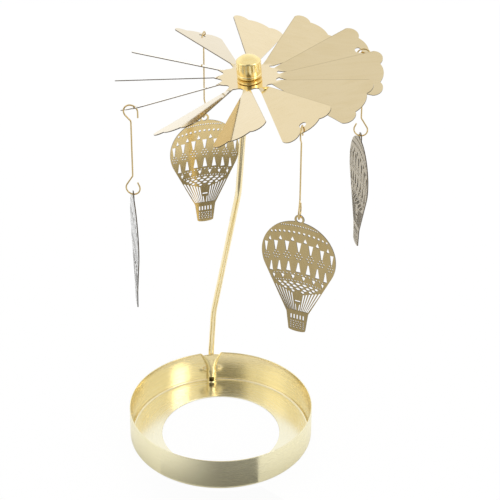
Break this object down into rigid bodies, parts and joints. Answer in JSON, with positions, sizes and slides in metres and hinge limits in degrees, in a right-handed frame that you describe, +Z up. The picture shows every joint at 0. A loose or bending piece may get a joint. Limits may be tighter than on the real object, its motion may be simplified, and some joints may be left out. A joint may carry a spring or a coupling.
{
  "type": "candle carousel",
  "caption": "Brass candle carousel: a round tray with a bent wire stem carries a pivoting fan rotor, from whose blade tips flat pierced hot-air-balloon pendants hang on hooked wires.",
  "frame": {"origin": "centre of the hole in the tray's floor, on the surface that the tray stands on", "axes": "+Z up, -Y towards the viewer of the picture, +X to the viewer's right; the stem stands at the back of the tray"},
  "size_m": [0.0849, 0.0856, 0.1489],
  "materials": {
    "tray_brass": "satin, brushed round the tray",
    "stem_brass": "drawn wire, polished",
    "rotor_brass": "pale satin sheet",
    "hub_brass": "turned and polished",
    "wire_brass": "drawn wire",
    "balloon_brass": "satin etched sheet"
  },
  "bodies": {
    "stand": {"tray": "tray_brass", "stem": "stem_brass"},
    "rotor": {"rotor": "rotor_brass", "hub_cap": "hub_brass", "hub_seat_ring": "hub_brass"},
    "wire_right": {"hanger_wire_right": "wire_brass"},
    "balloon_right": {"balloon_right": "balloon_brass"},
    "wire_back": {"hanger_wire_back": "wire_brass"},
    "balloon_back": {"balloon_back": "balloon_brass"},
    "wire_left": {"hanger_wire_left": "wire_brass"},
    "balloon_left": {"balloon_left": "balloon_brass"},
    "wire_front": {"hanger_wire_front": "wire_brass"},
    "balloon_front": {"balloon_front": "balloon_brass"}
  },
  "joints": [
    {"name": "rotor_spin", "type": "hinge", "parent": "stand", "child": "rotor", "pos_m": [0.0091, 0.00005, 0.14674], "axis": [-0.0732, 0.0096, 0.9973], "continuous": true},
    {"name": "wire_swing_right", "type": "hinge", "parent": "rotor", "child": "wire_right", "pos_m": [0.04701, 0.01493, 0.14179], "axis": [-0.2154, -0.9765, 0], "range_deg": [-12, 40]},
    {"name": "balloon_swing_right", "type": "hinge", "parent": "wire_right", "child": "balloon_right", "pos_m": [0.04701, 0.01493, 0.11239], "axis": [0.9765, -0.2154, 0], "range_deg": [-40, 40]},
    {"name": "wire_swing_back", "type": "hinge", "parent": "rotor", "child": "wire_back", "pos_m": [-0.00531, 0.03745, 0.13773], "axis": [0.9715, -0.2369, 0], "range_deg": [-12, 40]},
    {"name": "balloon_swing_back", "type": "hinge", "parent": "wire_back", "child": "balloon_back", "pos_m": [-0.00531, 0.03745, 0.10833], "axis": [0.2369, 0.9715, 0], "range_deg": [-40, 40]},
    {"name": "wire_swing_left", "type": "hinge", "parent": "rotor", "child": "wire_left", "pos_m": [-0.0277, -0.01498, 0.13659], "axis": [0.2191, 0.9757, 0], "range_deg": [-12, 40]},
    {"name": "balloon_swing_left", "type": "hinge", "parent": "wire_left", "child": "balloon_left", "pos_m": [-0.0277, -0.01498, 0.10719], "axis": [-0.9757, 0.2191, 0], "range_deg": [-40, 40]},
    {"name": "wire_swing_front", "type": "hinge", "parent": "rotor", "child": "wire_front", "pos_m": [0.02446, -0.03745, 0.14064], "axis": [-0.9805, 0.1964, 0], "range_deg": [-12, 40]},
    {"name": "balloon_swing_front", "type": "hinge", "parent": "wire_front", "child": "balloon_front", "pos_m": [0.02446, -0.03745, 0.11124], "axis": [-0.1964, -0.9805, 0], "range_deg": [-40, 40]}
  ]
}
